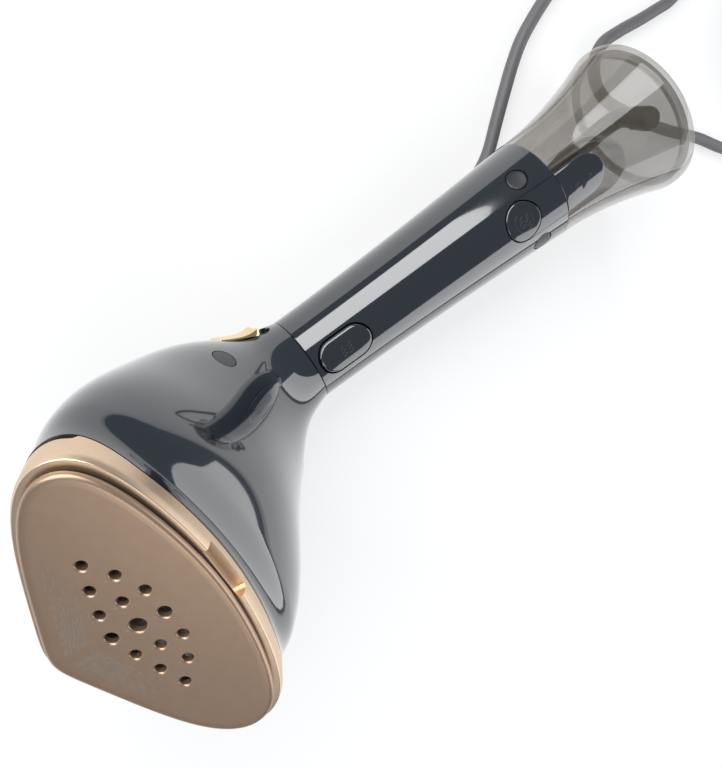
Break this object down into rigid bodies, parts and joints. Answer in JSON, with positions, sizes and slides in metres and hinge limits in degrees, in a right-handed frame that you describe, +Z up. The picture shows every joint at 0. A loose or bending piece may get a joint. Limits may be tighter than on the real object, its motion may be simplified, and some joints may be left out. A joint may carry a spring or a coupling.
{
  "type": "garment steamer",
  "caption": "Hand-held garment steamer lying on its back: triangular heated soleplate with steam holes, flared head, round handle with trigger, clear flared water tank and a mains lead.",
  "frame": {"origin": "under the middle of the lying steamer without its lead, on the surface it lies on", "axes": "+X along the handle from the tank towards the head, +Y to the side with the power slider turned away, +Z up from the surface, towards the trigger"},
  "size_m": [0.5313, 0.1674, 0.1238],
  "materials": {
    "black_gloss": "polished, with sharp soft-box reflections",
    "black_satin": "fine satin",
    "dark_plastic": "moulded, matte",
    "white_nylon": "moulded, matte",
    "board_green": "solder mask",
    "smoke_tank": "clear moulded plastic with a warm smoke tint",
    "rose_gold": "rose-gold metallised, satin",
    "bronze_plate": "anodised bronze, satin",
    "gold_trim": "gold plated, mirror finish",
    "cast_alloy": "as cast",
    "steel": "plain bright",
    "brass_blade": "bright",
    "seal_rubber": "matte",
    "cord_jacket": "matte flexible jacket"
  },
  "bodies": {
    "steamer_body": {"handle_front_shell": "black_gloss", "handle_rear_shell": "black_gloss", "insert_panel": "black_gloss", "trigger_spring": "steel", "trigger_switch": "dark_plastic", "switch_bracket": "white_nylon", "button_spring": "steel", "button_switch": "dark_plastic", "control_board": "board_green", "water_pump": "white_nylon", "pump_bracket": "dark_plastic", "tank_socket": "dark_plastic", "inlet_seal": "seal_rubber", "inlet_hose": "white_nylon", "handle_screw_left": "steel", "handle_screw_cap_left": "black_gloss", "handle_screw_right": "steel", "handle_screw_cap_right": "black_gloss", "neck_sleeve": "dark_plastic", "head_shell": "black_gloss", "head_rear_cover": "black_gloss", "rest_foot_left": "seal_rubber", "rest_foot_right": "seal_rubber", "head_screw_cap_left": "black_gloss", "head_screw_left": "steel", "head_screw_cap_right": "black_gloss", "head_screw_right": "steel", "bezel": "rose_gold", "plate_gasket": "seal_rubber", "soleplate": "bronze_plate", "steam_chamber": "cast_alloy", "heating_element": "steel", "thermostat": "dark_plastic", "thermal_fuse": "white_nylon", "heat_shield": "steel", "boiler_screw_1": "steel", "boiler_screw_2": "steel", "boiler_screw_3": "steel", "boiler_screw_4": "steel", "outlet_hose": "white_nylon", "strain_relief": "seal_rubber", "cord_clamp": "white_nylon", "terminal_block": "white_nylon", "power_cord": "cord_jacket", "cord_coil": "cord_jacket", "plug_body": "cord_jacket", "plug_blade_left": "brass_blade", "plug_blade_right": "brass_blade"},
    "tank": {"water_tank": "smoke_tank", "tank_end_cap": "smoke_tank", "tank_fill_plug": "seal_rubber", "tank_valve": "dark_plastic", "intake_tube": "seal_rubber", "intake_filter": "dark_plastic", "latch_spring": "steel"},
    "latch": {"latch_pad": "black_satin"},
    "trigger": {"steam_trigger": "black_satin"},
    "button": {"mode_button": "black_satin"},
    "slider": {"power_slider": "gold_trim", "slider_carrier": "white_nylon"}
  },
  "joints": [
    {"name": "tank_release", "type": "slide", "parent": "steamer_body", "child": "tank", "axis": [-0.9985, 0, 0.0543], "range_m": [0, 0.01]},
    {"name": "latch_press", "type": "slide", "parent": "tank", "child": "latch", "axis": [-0.0543, 0, -0.9985], "range_m": [0, 0.0013], "stiffness_N_per_m": 800, "deforming": ["latch_spring"]},
    {"name": "trigger_press", "type": "slide", "parent": "steamer_body", "child": "trigger", "axis": [-0.0543, 0, -0.9985], "range_m": [0, 0.0025], "stiffness_N_per_m": 600, "deforming": ["trigger_spring"]},
    {"name": "mode_button_press", "type": "slide", "parent": "steamer_body", "child": "button", "axis": [-0.0543, 0, -0.9985], "range_m": [0, 0.0015], "stiffness_N_per_m": 600, "deforming": ["button_spring"]},
    {"name": "power_slide", "type": "slide", "parent": "steamer_body", "child": "slider", "axis": [-0.8645, 0.4665, -0.1871], "range_m": [0, 0.005]}
  ]
}
